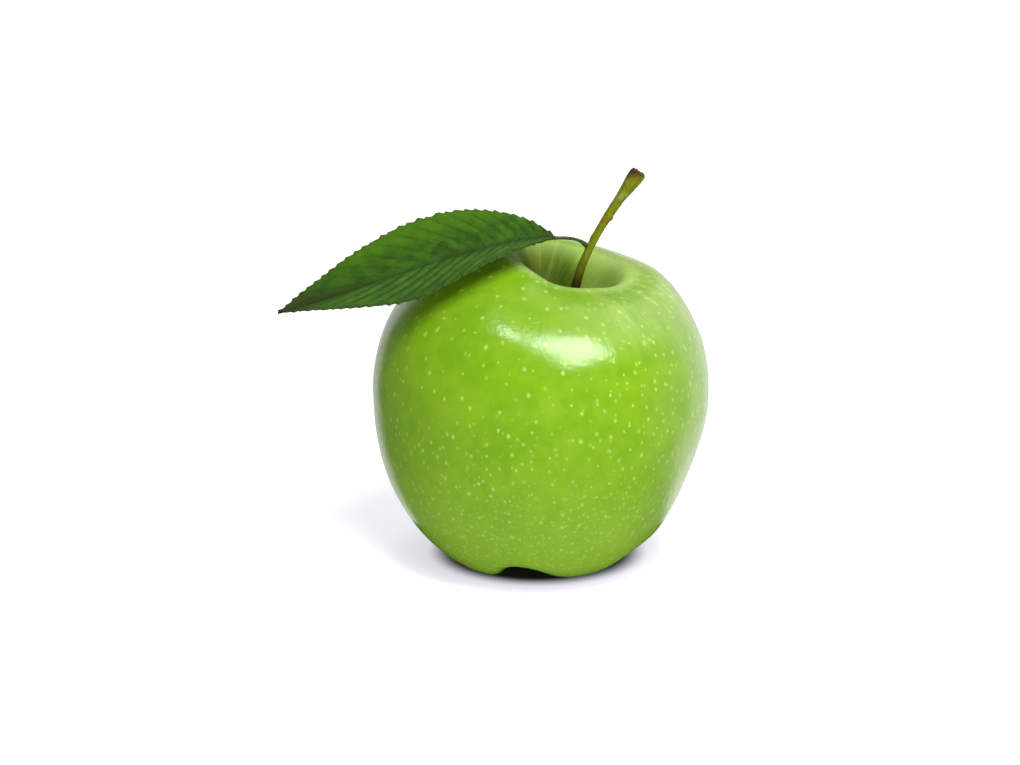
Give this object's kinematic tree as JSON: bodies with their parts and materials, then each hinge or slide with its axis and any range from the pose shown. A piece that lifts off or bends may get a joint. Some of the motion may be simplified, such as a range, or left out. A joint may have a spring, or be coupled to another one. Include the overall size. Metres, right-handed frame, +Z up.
{
  "type": "green apple with stem and leaf",
  "caption": "Large green apple standing upright on its base lobes, with a leaning woody stem, a toothed leaf on a thin stalk and a dried calyx underneath.",
  "frame": {"origin": "On the ground, in the middle of the part's outline seen from above; the fruit's own upright axis lies 10.65 mm towards +X", "axes": "+Z up from the ground; +X from the leaf's tip towards the fruit; -Y towards a viewer who sees the leaf at the left and the stem leaning right"},
  "size_m": [0.0994, 0.0782, 0.0938],
  "materials": {
    "apple_skin": "gloss",
    "stem_bark": "satin",
    "leaf_blade": "satin",
    "dried_calyx": "matte"
  },
  "bodies": {
    "root": {"apple": "apple_skin", "stem": "stem_bark", "leaf": "leaf_blade", "calyx": "dried_calyx"}
  },
  "joints": []
}
